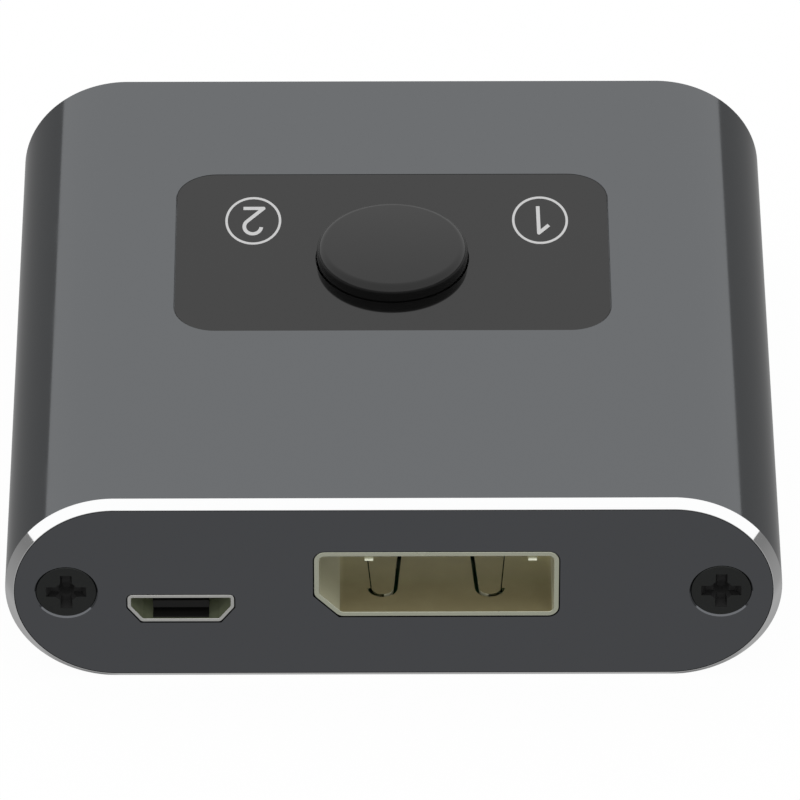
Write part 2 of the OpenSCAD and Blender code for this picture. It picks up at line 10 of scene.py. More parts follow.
import bpy
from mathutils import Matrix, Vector


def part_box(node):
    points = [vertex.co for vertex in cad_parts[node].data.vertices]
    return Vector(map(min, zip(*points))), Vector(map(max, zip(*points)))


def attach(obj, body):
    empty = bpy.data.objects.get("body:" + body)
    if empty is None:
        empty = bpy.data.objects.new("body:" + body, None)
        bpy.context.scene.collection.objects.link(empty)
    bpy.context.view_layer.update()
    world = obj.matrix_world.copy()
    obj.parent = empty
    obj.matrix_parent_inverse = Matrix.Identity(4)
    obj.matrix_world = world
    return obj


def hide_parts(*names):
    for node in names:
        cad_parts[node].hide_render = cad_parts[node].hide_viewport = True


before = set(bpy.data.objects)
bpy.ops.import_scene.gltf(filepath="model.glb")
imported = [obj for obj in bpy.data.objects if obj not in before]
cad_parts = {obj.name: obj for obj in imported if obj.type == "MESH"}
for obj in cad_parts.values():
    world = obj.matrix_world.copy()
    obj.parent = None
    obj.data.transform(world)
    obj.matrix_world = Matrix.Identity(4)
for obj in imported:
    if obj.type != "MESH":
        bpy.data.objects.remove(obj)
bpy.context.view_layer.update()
MM = 0.001

# %% [markdown]
# ## Camera
# The picture looks down at the front of the box with a very long lens, so that lines which run
# to the rear hardly draw together. A camera could be turned towards a target, but here its
# place is worked out from one aim point: it stands back along its own line of sight and then
# slides a little sideways, because the box isn't quite in the middle of the picture.

# %% Place the camera
VIEW_ELEVATION = radians(36.18)
VIEW_TURN = radians(0.225)
VIEW_DISTANCE = 690.6 * MM
AIM_HEIGHT = 7.25 * MM
SLIDE_RIGHT = 0.537 * MM
SLIDE_DOWN = 1.718 * MM
LENS = 433.69

camera_data = bpy.data.cameras.new("camera")
camera_data.lens = LENS
camera = bpy.data.objects.new("camera", camera_data)
camera.rotation_euler = (pi / 2 - VIEW_ELEVATION, 0, -VIEW_TURN)
slide = Vector((SLIDE_RIGHT, -SLIDE_DOWN, VIEW_DISTANCE))
camera.location = Vector((0, 0, AIM_HEIGHT)) + camera.rotation_euler.to_matrix() @ slide
bpy.context.scene.collection.objects.link(camera)
bpy.context.scene.camera = camera
bpy.context.scene.view_settings.view_transform = "Standard"
print("camera at", [round(c, 4) for c in camera.location])

# %% [markdown]
# ## Helpers for node trees
# Floor, finishes and Geometry Nodes are all node trees. Adding a node, setting it up and linking
# it takes several lines each time, so one helper does all three: an input that is given a socket
# is linked to it, a list of sockets is linked one by one, and any other value is written on the
# input itself. Mostly only the first output of a node is wanted, so a second helper returns that.

# %% Put a node in a tree
def feed(tree, node, key, value):
    """Link a socket to an input, or write a plain value on it."""
    if isinstance(value, bpy.types.NodeSocket):
        tree.links.new(value, node.inputs[key])
    else:
        node.inputs[key].default_value = value


def put(tree, kind, inputs=None, **settings):
    """Add a node, set its options, then link or fill its inputs by name or number."""
    node = tree.nodes.new(kind)
    for option, value in settings.items():
        setattr(node, option, value)
    for key, value in (inputs or {}).items():
        for one in value if isinstance(value, list) else [value]:
            feed(tree, node, key, one)
    return node


def out(tree, kind, inputs=None, **settings):
    """Put a node in a tree and return its first output."""
    return put(tree, kind, inputs, **settings).outputs[0]


print("node helpers ready")

# %% [markdown]
# ## Floor and light
# The picture has a pure white ground. Strong lamps could burn it white, but they would wash out the
# box as well. So a white world lights the box evenly from all sides, at a strength of 1, at which
# each colour renders about as it is written. The floor shows the camera a plain white, mixed with a
# share of ordinary white paint that keeps a faint shadow of the box. From below the floor is clear,
# so that the underside can be looked at too.

# %% Light the set
WHITE = (1, 1, 1, 1)

world = bpy.data.worlds.new("studio")
world.use_nodes = True
world.node_tree.nodes["Background"].inputs["Color"].default_value = WHITE
bpy.context.scene.world = world
print("world:", world.name)

# %% Lay the floor
FLOOR_SIZE = 40
FLOOR_GLOW = 0.97
FLOOR_DROP = 0.02 * MM


def bare_material(name):
    """A material with an empty tree."""
    material = bpy.data.materials.new(name)
    material.use_nodes = True
    material.node_tree.nodes.clear()
    return material, material.node_tree


def floor_paint():
    """White paint that glows for the camera, for mirrors and for glass, and is clear from below."""
    material, tree = bare_material("floor_paint")
    rays = put(tree, "ShaderNodeLightPath").outputs
    seen = rays["Is Camera Ray"]
    for other in ("Is Glossy Ray", "Is Transmission Ray"):
        seen = out(tree, "ShaderNodeMath", {0: seen, 1: rays[other]}, operation="MAXIMUM")
    share = out(tree, "ShaderNodeMath", {0: seen, 1: FLOOR_GLOW}, operation="MULTIPLY")
    paint = out(tree, "ShaderNodeBsdfDiffuse", {"Color": WHITE})
    glow = out(tree, "ShaderNodeEmission", {"Color": WHITE})
    mix = out(tree, "ShaderNodeMixShader", {0: share, 1: paint, 2: glow})
    below = put(tree, "ShaderNodeNewGeometry").outputs["Backfacing"]
    clear = out(tree, "ShaderNodeBsdfTransparent")
    sided = out(tree, "ShaderNodeMixShader", {0: below, 1: mix, 2: clear})
    put(tree, "ShaderNodeOutputMaterial", {"Surface": sided})
    return material


def link_mesh(name, points, faces, material):
    """Make an object from points and faces, and give it one material."""
    mesh = bpy.data.meshes.new(name)
    mesh.from_pydata(points, [], faces)
    mesh.materials.append(material)
    piece = bpy.data.objects.new(name, mesh)
    bpy.context.scene.collection.objects.link(piece)
    return piece


reach = FLOOR_SIZE / 2
floor_corners = [(x * reach, y * reach, -FLOOR_DROP) for x, y in ((-1, -1), (1, -1), (1, 1), (-1, 1))]
floor = link_mesh("floor", floor_corners, [(0, 1, 2, 3)], floor_paint())
print("floor of", FLOOR_SIZE, "m")

# %% [markdown]
# ## A grey card round the set
# Bare metal only shows what it mirrors. In the picture the top of the tube mirrors a white sky,
# while its round sides and the end plates mirror something darker that reaches a few degrees
# above the horizon, and the two meet in a crisp line. A photographer gets this with a ring of
# grey card. Here it is a wide shallow bowl that only mirrored rays can see. Its tone changes with
# the bearing from a place behind each front corner of the box: it is darkest half left and half
# right of the front, so that the bright cut edge darkens round the sides of the mouth. The list of
# tones gives each bearing as a number from -1, the rear, to 1, the front.

# %% Paint the grey card
CARD_RADIUS = 3.0
CARD_CORNER = (16 * MM, -24 * MM, 0)
CARD_TONES = [(-1.0, 0.365), (-0.75, 0.36), (-0.4, 0.34), (0.0, 0.345), (0.05, 0.37), (0.06, 0.352),
              (0.075, 0.305), (0.09, 0.282), (0.135, 0.262), (0.2, 0.232), (0.289, 0.192),
              (0.353, 0.19), (0.45, 0.372), (1.0, 0.372)]


def grey(tone):
    """As much red as green and blue."""
    return (tone, tone, tone)


def card_bearing(tree):
    """The Y of the way to a place on the card, seen from the corner on its side."""
    place = put(tree, "ShaderNodeTexCoord").outputs["Object"]
    apart = put(tree, "ShaderNodeSeparateXYZ", {0: place}).outputs
    aside = out(tree, "ShaderNodeMath", {0: apart["X"]}, operation="ABSOLUTE")
    flat = out(tree, "ShaderNodeCombineXYZ", {"X": aside, "Y": apart["Y"]})
    away = out(tree, "ShaderNodeVectorMath", {0: flat, 1: CARD_CORNER}, operation="SUBTRACT")
    # Between the two corners every place lies straight to the front or to the rear.
    straight_on = (0, -2 * CARD_RADIUS, 0)
    away = out(tree, "ShaderNodeVectorMath", {0: away, 1: straight_on}, operation="MAXIMUM")
    bearing = out(tree, "ShaderNodeVectorMath", {0: away}, operation="NORMALIZE")
    return put(tree, "ShaderNodeSeparateXYZ", {0: bearing}).outputs["Y"]


def card_paint():
    """Grey that gives its own light, with a tone for each bearing."""
    material, tree = bare_material("grey_card")
    share = out(tree, "ShaderNodeMapRange", {"Value": card_bearing(tree), "From Min": 1, "From Max": -1})
    ramp = put(tree, "ShaderNodeValToRGB", {0: share})
    stops = ramp.color_ramp.elements
    for front, _ in CARD_TONES[1:-1]:
        stops.new((front + 1) / 2)
    for stop, (_, tone) in zip(stops, CARD_TONES):
        stop.color = (*grey(tone), 1)
    glow = out(tree, "ShaderNodeEmission", {"Color": ramp.outputs[0]})
    put(tree, "ShaderNodeOutputMaterial", {"Surface": glow})
    material.cycles.emission_sampling = "NONE"
    return material


print("tones on the card:", len(CARD_TONES))

# %% Stand the grey card
CARD_RIM = radians(6.5)
CARD_LIFT = 0.05 * MM
CARD_SIDES = 96


def ring_points(height):
    """One round of points on the card."""
    turns = [2 * pi * i / CARD_SIDES for i in range(CARD_SIDES)]
    return [(CARD_RADIUS * cos(t), CARD_RADIUS * sin(t), height) for t in turns]


wall = [(i, (i + 1) % CARD_SIDES, (i + 1) % CARD_SIDES + CARD_SIDES, i + CARD_SIDES)
        for i in range(CARD_SIDES)]
card_points = ring_points(CARD_LIFT) + ring_points(CARD_RADIUS * tan(CARD_RIM))
card = link_mesh("grey_card_bowl", card_points, [tuple(range(CARD_SIDES))] + wall, card_paint())
for sight in ("camera", "diffuse", "transmission", "volume_scatter", "shadow"):
    setattr(card, "visible_" + sight, False)
print("grey card", CARD_RADIUS, "m wide to each side")

# %% [markdown]
# ## Shared surface effects
# No real surface is one flat value. Three effects are used by several finishes, so each is a node
# group that is built once: a fine grain, the faint lines that a drawing die or a rolling mill
# leaves, and the soft patches left by handling. A group hands out a value between 0 and 1, and
# each finish decides how much of it to use.

# %% Build the effect groups
LINE_SQUEEZE = 0.01
PATCH_SWIRL = 0.6
PATCH_LOW = 0.35
PATCH_HIGH = 0.75


def effect_group(name, output):
    """Start a shader group with a Scale input and one named value that comes out."""
    tree = bpy.data.node_groups.new(name, "ShaderNodeTree")
    tree.interface.new_socket("Scale", in_out="INPUT", socket_type="NodeSocketFloat")
    tree.interface.new_socket(output, in_out="OUTPUT", socket_type="NodeSocketFloat")
    place = put(tree, "ShaderNodeTexCoord").outputs["Object"]
    return tree, put(tree, "NodeGroupInput").outputs["Scale"], place


def grain_group():
    """Tiny even speckle, as on blasted or moulded surfaces."""
    tree, scale, place = effect_group("fine_grain", "Grain")
    noise = out(tree, "ShaderNodeTexNoise", {"Vector": place, "Scale": scale, "Detail": 3})
    put(tree, "NodeGroupOutput", {"Grain": noise})
    return tree


def lines_group():
    """Fine lines along Y: a speckle that is stretched out along the length of the box."""
    tree, scale, place = effect_group("drawn_lines", "Lines")
    stretched = out(tree, "ShaderNodeMapping", {"Vector": place, "Scale": (1, LINE_SQUEEZE, 1)})
    noise = out(tree, "ShaderNodeTexNoise", {"Vector": stretched, "Scale": scale, "Detail": 2})
    put(tree, "NodeGroupOutput", {"Lines": noise})
    return tree


def smudge_group():
    """Soft patches a few millimetres wide."""
    tree, scale, place = effect_group("handling_patches", "Patches")
    noise = out(tree, "ShaderNodeTexNoise", {"Vector": place, "Scale": scale, "Detail": 4,
                                             "Distortion": PATCH_SWIRL})
    patches = out(tree, "ShaderNodeMapRange", {"Value": noise, "From Min": PATCH_LOW,
                                               "From Max": PATCH_HIGH}, interpolation_type="SMOOTHSTEP")
    put(tree, "NodeGroupOutput", {"Patches": patches})
    return tree


fine_grain = grain_group()
drawn_lines = lines_group()
handling_patches = smudge_group()
print("effects:", [group.name for group in bpy.data.node_groups])

# %% [markdown]
# ## One recipe for the finishes
# Every finish here is a Principled shader with its plain numbers on its own inputs. What changes
# over the surface comes from the effect groups: two close tones that the grain mixes, a roughness
# that wanders a little with the patches, and a bump that is only a few thousandths of a
# millimetre high. A finish may take another effect, with its own size and curve, to mix the
# tones, and then a coarse grain mottles them.

# %% Write the recipe
PATCH_SIZE = 9 * MM
MOTTLE_SIZE = 1.5 * MM
MOTTLE = 0.06


def effect(tree, group, scale):
    """Place an effect group in a material and return its value."""
    return out(tree, "ShaderNodeGroup", {"Scale": scale}, node_tree=group)


def spread(tree, value, low, high):
    """Turn a value between 0 and 1 into one between low and high."""
    return out(tree, "ShaderNodeMapRange", {"Value": value, "To Min": low, "To Max": high})


def finish(name, dark, light, roughness, grain_size, bump, lines=False, tone=None, **plain):
    """A finish: dark and light tone, least and most roughness, grain and bump in millimetres."""
    material = bpy.data.materials.new(name)
    material.use_nodes = True
    tree = material.node_tree
    shader = tree.nodes["Principled BSDF"]
    for socket, value in plain.items():
        feed(tree, shader, socket.replace("_", " "), value)
    texture = effect(tree, drawn_lines if lines else fine_grain, 1 / (grain_size * MM))
    patches = effect(tree, handling_patches, 1 / PATCH_SIZE)
    blend = texture
    if tone:
        group, size, curve = tone
        course = out(tree, "ShaderNodeMath", {0: effect(tree, group, 1 / (size * MM)), 1: curve},
                     operation="POWER")
        mottle = spread(tree, effect(tree, fine_grain, 1 / MOTTLE_SIZE), -MOTTLE, MOTTLE)
        blend = out(tree, "ShaderNodeMath", {0: course, 1: mottle})
    colour = put(tree, "ShaderNodeMix", {0: blend, 6: (*dark, 1), 7: (*light, 1)}, data_type="RGBA")
    relief = out(tree, "ShaderNodeBump", {"Height": texture, "Strength": 1, "Distance": bump * MM})
    feed(tree, shader, "Base Color", colour.outputs[2])
    feed(tree, shader, "Roughness", spread(tree, patches, *roughness))
    feed(tree, shader, "Normal", relief)
    return material


print("recipe ready")

# %% [markdown]
# ## The metals
# The tube and the plates are blasted and dyed grey, and the chamfers are cut through the dye
# afterwards, so bare aluminium shines there. The screws are blackened steel, and the port shells
# are plated sheet. A picture of metal could be wrapped round each piece, but it would show seams, so
# each finish is worked out from the place on the piece itself.

# %% Mix the metals
EDGE_TINT = (*grey(0.75), 1)
dyed_grey = finish("dyed_aluminium", (0.145, 0.151, 0.157), (0.153, 0.159, 0.166), (0.08, 0.12),
                   0.08, 0.0002, Metallic=1.0, Specular_Tint=EDGE_TINT)
dyed_plate = finish("dyed_end_plate", (0.146, 0.151, 0.161), (0.154, 0.159, 0.170), (0.08, 0.12),
                    0.08, 0.0002, Metallic=1.0, Specular_Tint=EDGE_TINT)
bright_cut = finish("bright_cut_aluminium", (0.97, 0.972, 0.975), (0.99, 0.992, 0.995), (0.04, 0.07),
                    0.06, 0.0002, lines=True, Metallic=1.0)
black_steel = finish("blackened_steel", (0.042, 0.044, 0.043), (0.056, 0.058, 0.057), (0.3, 0.4),
                     0.1, 0.002, Metallic=1.0)
# Painted shade for the screws' cross recess: a darker, duller black than the heads.
painted_recess_shade = finish("screw_recess_painted_shade", grey(0.0095), grey(0.0135), (0.6, 0.7), 0.1, 0.002, IOR=1.25)
warm_plate = finish("warm_plated_sheet", (0.71, 0.73, 0.58), (0.75, 0.77, 0.62), (0.22, 0.3),
                    0.08, 0.0006, lines=True, Metallic=1.0)
cool_plate = finish("cool_plated_sheet", (0.76, 0.76, 0.73), (0.80, 0.80, 0.77), (0.22, 0.3),
                    0.08, 0.0006, lines=True, Metallic=1.0)
tinned = finish("tinned_metal", (0.6, 0.6, 0.58), (0.7, 0.7, 0.68), (0.3, 0.45), 0.15, 0.002,
                Metallic=1.0)
gilt = finish("gilt_contact", (0.78, 0.55, 0.22), (0.85, 0.62, 0.28), (0.2, 0.3), 0.1, 0.0005,
              Metallic=1.0)
print("metals mixed")

# %% [markdown]
# ## Mouldings, board and ink
# The panel and the button are black gloss, and what holds the contacts is a duller black. One black
# could serve them all, but black is told apart by how sharply it mirrors, so each has a roughness of
# its own. The board and what sits on it hardly show, but the box may be opened, so they get their
# own finishes too.

# %% Mix the mouldings, the board and the ink
black_gloss = finish("black_gloss_sheet", grey(0.002), grey(0.004), (0.05, 0.08), 0.3, 0.0002, IOR=1.472)
black_cap = finish("black_moulded_cap", grey(0.002), grey(0.004), (0.08, 0.12), 0.1, 0.0002, IOR=1.462)
black_moulding = finish("black_moulding", grey(0.010), (0.016, 0.016, 0.015), (0.4, 0.5), 0.12, 0.002,
                        IOR=1.5)
# Painted shade for the inlet's tongue: darker and less shiny than the other mouldings.
tongue_painted_shade = finish("inlet_tongue_painted_shade", grey(0.005), (0.009, 0.009, 0.008), (0.6, 0.7), 0.12, 0.002,
                       IOR=1.3)
board_green = finish("lacquered_board", (0.008, 0.06, 0.025), (0.012, 0.08, 0.035), (0.25, 0.35),
                     0.4, 0.004, IOR=1.52)
chip_black = finish("chip_moulding", (0.012, 0.012, 0.013), (0.02, 0.02, 0.021), (0.5, 0.6), 0.1,
                    0.003, IOR=1.5)
ceramic = finish("tan_ceramic", (0.30, 0.21, 0.12), (0.36, 0.26, 0.16), (0.45, 0.55), 0.1, 0.002, IOR=1.5)
lamp_resin = finish("lamp_resin", (0.70, 0.66, 0.48), (0.76, 0.72, 0.55), (0.2, 0.3), 0.2, 0.001, IOR=1.5)
clear_rod = finish("clear_rod", (0.80, 0.84, 0.86), (0.84, 0.88, 0.90), (0.06, 0.1), 0.3, 0.0003,
                   IOR=1.49, Transmission_Weight=0.9)
white_ink = finish("white_ink", grey(0.55), grey(0.62), (0.4, 0.5), 0.05, 0.001, IOR=1.45)
print("mouldings, board and ink mixed")

# %% [markdown]
# ## Dress the frame
# Each piece of the frame has a slot that says what it is made of, and the slot now gets its finish.
# The tongue of the power inlet gets painted shade: a darker, duller black than the other mouldings.

# %% Hand out the finishes
slot_finish = {
    "housing": dyed_grey, "end_plate": dyed_plate, "screw": black_steel, "panel": black_gloss,
    "button": black_cap, "moulding": black_moulding, "tinned_metal": tinned, "board": board_green,
    "port_shell": warm_plate, "power_shell": cool_plate, "contact": gilt, "chip": chip_black,
    "capacitor": ceramic, "lamp": lamp_resin, "light_pipe": clear_rod,
}
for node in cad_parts.values():
    for holder in node.material_slots:
        holder.material = slot_finish[holder.material.name]
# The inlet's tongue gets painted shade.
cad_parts["power_port_insulator"].material_slots[0].material = tongue_painted_shade
print("slots with a finish:", len(slot_finish))

# %% [markdown]
# ## Helpers for Geometry Nodes
# A Geometry Nodes tree is a recipe for a shape. Its sizes are named inputs, so the same recipe can
# be run again with other numbers. These helpers start a tree, work out sums between its sizes,
# and move, join, weld and cut shapes.

# %% Start a tree and do its sums
def shape_tree(name, lengths, places=()):
    """Start a tree with named lengths and named places, and return it with its inputs."""
    tree = bpy.data.node_groups.new(name, "GeometryNodeTree")
    tree.interface.new_socket("Seeds", in_out="INPUT", socket_type="NodeSocketGeometry")
    for length in lengths:
        tree.interface.new_socket(length, in_out="INPUT", socket_type="NodeSocketFloat")
    for place in places:
        tree.interface.new_socket(place, in_out="INPUT", socket_type="NodeSocketVector")
    tree.interface.new_socket("Shape", in_out="OUTPUT", socket_type="NodeSocketGeometry")
    return tree, put(tree, "NodeGroupInput").outputs


def calc(tree, operation, first, second=0.0):
    """A sum between two sizes."""
    return out(tree, "ShaderNodeMath", {0: first, 1: second}, operation=operation)


def plus(tree, first, second):
    return calc(tree, "ADD", first, second)


def less(tree, first, second):
    return calc(tree, "SUBTRACT", first, second)


def times(tree, first, second):
    return calc(tree, "MULTIPLY", first, second)


def halved(tree, value):
    return calc(tree, "DIVIDE", value, 2)


def minus(tree, value):
    return times(tree, value, -1.0)


def spot(tree, x=0.0, y=0.0, z=0.0):
    """Three sizes as one place."""
    return out(tree, "ShaderNodeCombineXYZ", {0: x, 1: y, 2: z})


def parts_of(tree, vector):
    """The X, Y and Z of a place or a direction."""
    return put(tree, "ShaderNodeSeparateXYZ", {0: vector}).outputs


def place_of(tree):
    """Where a point or the middle of a face lies."""
    return parts_of(tree, out(tree, "GeometryNodeInputPosition"))


def look_of(tree):
    """Which way a face looks."""
    return parts_of(tree, out(tree, "GeometryNodeInputNormal"))


print("trees can be started")

# %% Move, join and cut shapes
def moved(tree, shape, place=(0, 0, 0), turn=(0, 0, 0)):
    """The shape, turned and then moved."""
    return out(tree, "GeometryNodeTransform", {"Geometry": shape, "Translation": place, "Rotation": turn})


def joined(tree, shapes):
    """Several shapes in one, with nothing cut."""
    return out(tree, "GeometryNodeJoinGeometry", {0: shapes})


def hull(tree, shapes):
    """The tightest skin round several shapes."""
    return out(tree, "GeometryNodeConvexHull", {0: joined(tree, shapes)})


def welded(tree, shapes):
    """Several solids as one solid."""
    return out(tree, "GeometryNodeMeshBoolean", {"Mesh 2": shapes}, operation="UNION", solver="EXACT")


def cut(tree, solid, tools):
    """The solid less its tools."""
    return out(tree, "GeometryNodeMeshBoolean", {"Mesh 1": solid, "Mesh 2": tools},
               operation="DIFFERENCE", solver="EXACT")


print("shapes can be combined")

# %% [markdown]
# ## Basic shapes
# Most pieces of the box are bent, drawn or turned, so their shape is an outline that is carried
# along a path. An outline is a closed line whose points are put on named corners, and each corner
# may be rounded. A turned piece is an outline carried round a circle.

# %% Draw lines and outlines
WELD = 0.0005 * MM


def line(tree, start, end):
    return out(tree, "GeometryNodeCurvePrimitiveLine", {"Start": start, "End": end})


def circle(tree, radius, points):
    return put(tree, "GeometryNodeCurvePrimitiveCircle", {"Resolution": points, "Radius": radius},
               mode="RADIUS").outputs["Curve"]


def by_index(tree, values, kind):
    """Hand the first value to the first point, the second to the second, and so on."""
    order = out(tree, "GeometryNodeInputIndex")
    switch = put(tree, "GeometryNodeIndexSwitch", {"Index": order}, data_type=kind)
    for number, value in enumerate(values):
        if number == len(switch.index_switch_items):
            switch.index_switch_items.new()
        feed(tree, switch, str(number), value)
    return switch.outputs[0]


def outline(tree, corners, radii, steps=8):
    """A closed line through corners, counter-clockwise, each rounded with its own radius."""
    places = by_index(tree, [spot(tree, x, y) for x, y in corners], "VECTOR")
    sharp = out(tree, "GeometryNodeSetPosition", {"Geometry": circle(tree, MM, len(corners)),
                                                  "Position": places})
    return out(tree, "GeometryNodeFilletCurve", {"Curve": sharp, "Count": steps,
                                                 "Radius": by_index(tree, radii, "FLOAT"),
                                                 "Limit Radius": True}, mode="POLY")


def rectangle(tree, width, height):
    return out(tree, "GeometryNodeCurvePrimitiveQuadrilateral", {"Width": width, "Height": height})


print("lines ready")

# %% Carry an outline along a path
LATHE_PATH = 1 * MM


def swept(tree, path, section, caps=False):
    """The section carried along the path: its X points out of the path, and its Y down."""
    upright = out(tree, "GeometryNodeSetCurveNormal", {"Curve": path}, mode="Z_UP")
    mesh = out(tree, "GeometryNodeCurveToMesh", {"Curve": upright, "Profile Curve": section,
                                                 "Fill Caps": caps})
    return out(tree, "GeometryNodeMergeByDistance", {"Geometry": mesh, "Distance": WELD})


def turned(tree, corners, radii, sides):
    """A turned solid about Z, through corners of radius and height from its top to its foot."""
    section = outline(tree, [(less(tree, radius, LATHE_PATH), minus(tree, height))
                             for radius, height in corners], radii)
    section = out(tree, "GeometryNodeSetSplineCyclic", {"Geometry": section, "Cyclic": False})
    return swept(tree, circle(tree, LATHE_PATH, sides), section)


def rod(tree, radius, length, sides=64):
    """An upright solid rod about the origin."""
    return put(tree, "GeometryNodeMeshCylinder", {"Vertices": sides, "Radius": radius,
                                                  "Depth": length}).outputs["Mesh"]


def block(tree, size):
    """A solid block about the origin."""
    return put(tree, "GeometryNodeMeshCube", {"Size": size}).outputs["Mesh"]


print("solids ready")

# %% [markdown]
# ## Ending and running a tree
# A shape that repeats is set on seed points, each with its own turn about Z. Every tree then ends
# the same way: copies become real, the finish is set, and edges sharper than 30 degrees stay
# crisp. The result is kept as a plain mesh, because a finished piece has to stand by itself, and
# weighted normals keep its large flat faces flat.

# %% Set out copies and end a tree
CRISP_ANGLE = radians(30)


def mark_faces(tree, shape, choice):
    """Note on each face whether it is chosen, so that its copies remember it."""
    return out(tree, "GeometryNodeStoreNamedAttribute", {"Geometry": shape, "Name": "chosen",
                                                         "Value": choice},
               data_type="BOOLEAN", domain="FACE")


def marked(tree):
    """The faces that were chosen."""
    return out(tree, "GeometryNodeInputNamedAttribute", {"Name": "chosen"}, data_type="BOOLEAN")


def on_seeds(tree, size, shape):
    """A copy of the shape on each seed point, turned as the point says."""
    turn = out(tree, "GeometryNodeInputNamedAttribute", {"Name": "turn"}, data_type="FLOAT")
    euler = out(tree, "FunctionNodeEulerToRotation", {0: spot(tree, z=turn)})
    copies = out(tree, "GeometryNodeInstanceOnPoints", {"Points": size["Seeds"], "Instance": shape,
                                                        "Rotation": euler})
    return out(tree, "GeometryNodeRealizeInstances", {"Geometry": copies})


def close_tree(tree, shape, material, choices=()):
    """Make copies real, keep only sharp edges crisp, set the finish, and end the tree."""
    shape = out(tree, "GeometryNodeRealizeInstances", {"Geometry": shape})
    shape = out(tree, "GeometryNodeSetShadeSmooth", {"Geometry": shape})
    bend = put(tree, "GeometryNodeInputMeshEdgeAngle").outputs["Unsigned Angle"]
    crisp = calc(tree, "GREATER_THAN", bend, CRISP_ANGLE)
    shape = out(tree, "GeometryNodeSetShadeSmooth", {"Geometry": shape, "Selection": crisp,
                                                     "Shade Smooth": False}, domain="EDGE")
    shape = out(tree, "GeometryNodeSetMaterial", {"Geometry": shape, "Material": material})
    for selection, other in choices:
        shape = out(tree, "GeometryNodeSetMaterial", {"Geometry": shape, "Selection": selection,
                                                      "Material": other})
    put(tree, "NodeGroupOutput", {"Shape": shape})


print("trees can be ended")

# %% Run a tree and keep its mesh
def plain_mesh(piece):
    """Keep what a piece's modifiers make as its own mesh, without empty finish slots."""
    ready = piece.evaluated_get(bpy.context.evaluated_depsgraph_get())
    mesh = bpy.data.meshes.new_from_object(ready)
    for slot in reversed(range(len(mesh.materials))):
        if mesh.materials[slot] is None:
            mesh.materials.pop(index=slot)
    piece.modifiers.clear()
    piece.data = mesh


def run_tree(name, tree, sizes, seeds=((0, 0, 0),), turns=(0,)):
    """Run a tree on seed points, each with its own turn, and return the finished piece."""
    mesh = bpy.data.meshes.new(name)
    mesh.from_pydata(seeds, [], [])
    mesh.attributes.new("turn", "FLOAT", "POINT").data.foreach_set("value", turns)
    piece = bpy.data.objects.new(name, mesh)
    bpy.context.scene.collection.objects.link(piece)
    modifier = piece.modifiers.new("shape", "NODES")
    modifier.node_group = tree
    for socket in tree.interface.items_tree:
        if socket.name in sizes:
            modifier[socket.identifier] = sizes[socket.name]
    piece.modifiers.new("flat_faces", "WEIGHTED_NORMAL").keep_sharp = True
    plain_mesh(piece)
    print(name, len(piece.data.vertices), "points", len(piece.data.polygons), "faces")
    return piece


print("trees can be run")

# %% [markdown]
# ## The tube
# On the real box this is one length of extruded aluminium, so its outline is the same all along:
# two straight walls joined by half rounds. Each mouth is then faced, stepped back for its end
# plate and chamfered. It could be a cube with bevels, but a sweep says it better: the outline is a
# path, and the wall's section, with its chamfers, lands, seats and ledges, is carried round it.
# The path is a circle whose two halves are drawn apart. Bosses for the screws and rails for the
# board are welded in, and the pocket and the holes are cut.

# %% Draw the tube's path and section
ROUND_STEPS = 128


def stadium(tree, width, height):
    """Two half rounds and two straight lines, from a circle whose flats touch the true round."""
    radius = calc(tree, "DIVIDE", height, 2 * cos(pi / ROUND_STEPS))
    ring = moved(tree, circle(tree, radius, ROUND_STEPS), turn=(0, 0, pi / ROUND_STEPS))
    side = place_of(tree)["X"]
    apart = halved(tree, less(tree, width, height))
    shift = spot(tree, times(tree, calc(tree, "SIGN", side), apart))
    return out(tree, "GeometryNodeSetPosition", {"Geometry": ring, "Offset": shift})


def tube_section(tree, size):
    """The wall's section as lines: inset from the outside, and distance from the middle."""
    half = halved(tree, size["Length"])
    cut_inset = minus(tree, size["Chamfer"])
    seat_inset = less(tree, cut_inset, size["Land"])
    ledge = less(tree, half, size["Plate"])
    rear = [(0.0, less(tree, half, size["Chamfer"])), (cut_inset, half), (seat_inset, half),
            (seat_inset, ledge), (minus(tree, size["Wall"]), ledge)]
    front = [(inset, minus(tree, reach)) for inset, reach in reversed(rear)]
    corners = [spot(tree, inset, reach) for inset, reach in rear + front]
    return joined(tree, [line(tree, a, b) for a, b in zip(corners, corners[1:] + corners[:1])])


def chamfer_faces(tree, size):
    """Picks the sloping faces close to both mouths."""
    slope = calc(tree, "COMPARE", calc(tree, "ABSOLUTE", look_of(tree)["Y"]), sqrt(0.5))
    limit = less(tree, halved(tree, size["Length"]), size["Chamfer"])
    near = calc(tree, "GREATER_THAN", calc(tree, "ABSOLUTE", place_of(tree)["Y"]), limit)
    return times(tree, slope, near)


print("tube section drawn")

# %% [markdown]
# ## The panel's pocket
# The panel lies in a pocket that a mill cuts into the tube's top, and the pocket's upper edge is
# broken so that it isn't sharp. One tool with slanting sides could do both, but then the whole wall
# would slant. So there are two: a block with upright walls, and a skin round a thin slice of it and
# a slightly larger block above, which only takes off the edge.

# %% Cut the panel's pocket
POCKET_STEPS = 12


def pocket_block(tree, size, grow, height):
    """A block with round corners, grown all round the pocket, that stands on z = 0."""
    across = plus(tree, halved(tree, size["Pocket width"]), grow)
    back = plus(tree, halved(tree, size["Pocket length"]), grow)
    corners = [(minus(tree, across), minus(tree, back)), (across, minus(tree, back)), (across, back),
               (minus(tree, across), back)]
    edge = outline(tree, corners, [plus(tree, size["Pocket corner"], grow)] * 4, POCKET_STEPS)
    upward = line(tree, (0, 0, 0), spot(tree, z=height))
    return out(tree, "GeometryNodeCurveToMesh", {"Curve": upward, "Profile Curve": edge,
                                                 "Fill Caps": True})


